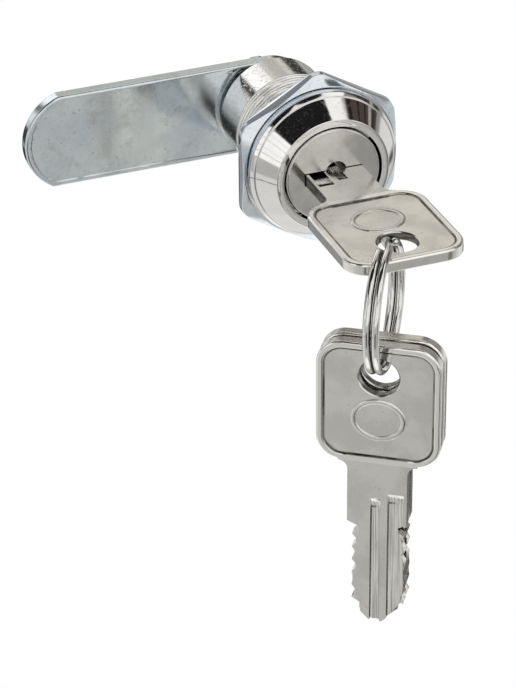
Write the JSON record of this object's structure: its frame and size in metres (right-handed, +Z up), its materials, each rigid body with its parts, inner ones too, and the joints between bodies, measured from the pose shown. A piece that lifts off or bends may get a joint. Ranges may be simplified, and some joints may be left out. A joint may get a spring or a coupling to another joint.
{
  "type": "mailbox cam lock",
  "caption": "Cam lock for a mailbox door: bevelled chrome head, threaded barrel with hexagon nut, quarter-turn flat cam, and flat keys on a split ring.",
  "frame": {"origin": "on the lock axis, in the plane of the head's back face, where the door panel seats", "axes": "+Y along the lock axis from the head to the cam, +Z up, +X to the right seen from the front"},
  "size_m": [0.0504, 0.0674, 0.0723],
  "materials": {
    "chrome_housing": "polished chrome plate on turned brass or zinc",
    "zinc_nut": "bright blue-white zinc plate",
    "nickel_plug": "satin nickel plate",
    "zinc_cam": "dull zinc-plated steel sheet with fine speckle and bright sheared edge",
    "nickel_key": "nickel-plated, satin bright",
    "nickel_ring": "bright nickel-plated spring wire",
    "brass_wafer": "stamped brass",
    "spring_steel": "plain spring steel"
  },
  "bodies": {
    "housing": {"lock_body": "chrome_housing"},
    "clamp_nut": {"mounting_nut": "zinc_nut"},
    "turning_plug": {"plug": "nickel_plug", "stop_washer": "spring_steel", "cam": "zinc_cam", "cam_lock_washer": "spring_steel", "cam_nut": "zinc_nut", "wafer_spring_1": "spring_steel", "wafer_spring_2": "spring_steel", "wafer_spring_3": "spring_steel", "wafer_spring_4": "spring_steel", "wafer_spring_5": "spring_steel"},
    "key": {"key_in_lock": "nickel_key"},
    "wafer_1_body": {"wafer_1": "brass_wafer"},
    "wafer_2_body": {"wafer_2": "brass_wafer"},
    "wafer_3_body": {"wafer_3": "brass_wafer"},
    "wafer_4_body": {"wafer_4": "brass_wafer"},
    "wafer_5_body": {"wafer_5": "brass_wafer"},
    "ring": {"key_ring": "nickel_ring"},
    "spare_front": {"spare_key_front": "nickel_key"},
    "spare_rear": {"spare_key_rear": "nickel_key"}
  },
  "joints": [
    {"name": "plug_turn", "type": "hinge", "parent": "housing", "child": "turning_plug", "pos_m": [0, 0, 0], "axis": [0, 1, 0], "range_deg": [0, 90]},
    {"name": "nut_travel", "type": "slide", "parent": "housing", "child": "clamp_nut", "axis": [0, 1, 0], "range_m": [0, 0.008]},
    {"name": "key_slide", "type": "slide", "parent": "turning_plug", "child": "key", "axis": [0, -1, 0], "range_m": [0, 0.02]},
    {"name": "wafer_1_slide", "type": "slide", "parent": "turning_plug", "child": "wafer_1_body", "axis": [1, 0, 0], "range_m": [0, 0.0008], "deforming": ["wafer_spring_1"]},
    {"name": "wafer_2_slide", "type": "slide", "parent": "turning_plug", "child": "wafer_2_body", "axis": [-1, 0, 0], "range_m": [0, 0.0008], "deforming": ["wafer_spring_2"]},
    {"name": "wafer_3_slide", "type": "slide", "parent": "turning_plug", "child": "wafer_3_body", "axis": [1, 0, 0], "range_m": [0, 0.0008], "deforming": ["wafer_spring_3"]},
    {"name": "wafer_4_slide", "type": "slide", "parent": "turning_plug", "child": "wafer_4_body", "axis": [-1, 0, 0], "range_m": [0, 0.0008], "deforming": ["wafer_spring_4"]},
    {"name": "wafer_5_slide", "type": "slide", "parent": "turning_plug", "child": "wafer_5_body", "axis": [1, 0, 0], "range_m": [0, 0.0008], "deforming": ["wafer_spring_5"]},
    {"name": "ring_swing", "type": "hinge", "parent": "key", "child": "ring", "pos_m": [-0.00347, -0.03046, 0], "axis": [-0.5736, -0.8192, 0], "range_deg": [-12, 12]},
    {"name": "spare_front_swing", "type": "hinge", "parent": "ring", "child": "spare_front", "pos_m": [-0.00347, -0.03046, -0.0159], "axis": [-0.5736, -0.8192, 0], "range_deg": [-40, 40]},
    {"name": "spare_rear_swing", "type": "hinge", "parent": "ring", "child": "spare_rear", "pos_m": [-0.00347, -0.03046, -0.0159], "axis": [-0.5736, -0.8192, 0], "range_deg": [-40, 40]}
  ],
  "couplings": [
    {"joint": "wafer_1_slide", "follows": "key_slide", "ratio": 0.04},
    {"joint": "wafer_2_slide", "follows": "key_slide", "ratio": 0.04},
    {"joint": "wafer_3_slide", "follows": "key_slide", "ratio": 0.04},
    {"joint": "wafer_4_slide", "follows": "key_slide", "ratio": 0.04},
    {"joint": "wafer_5_slide", "follows": "key_slide", "ratio": 0.04}
  ]
}
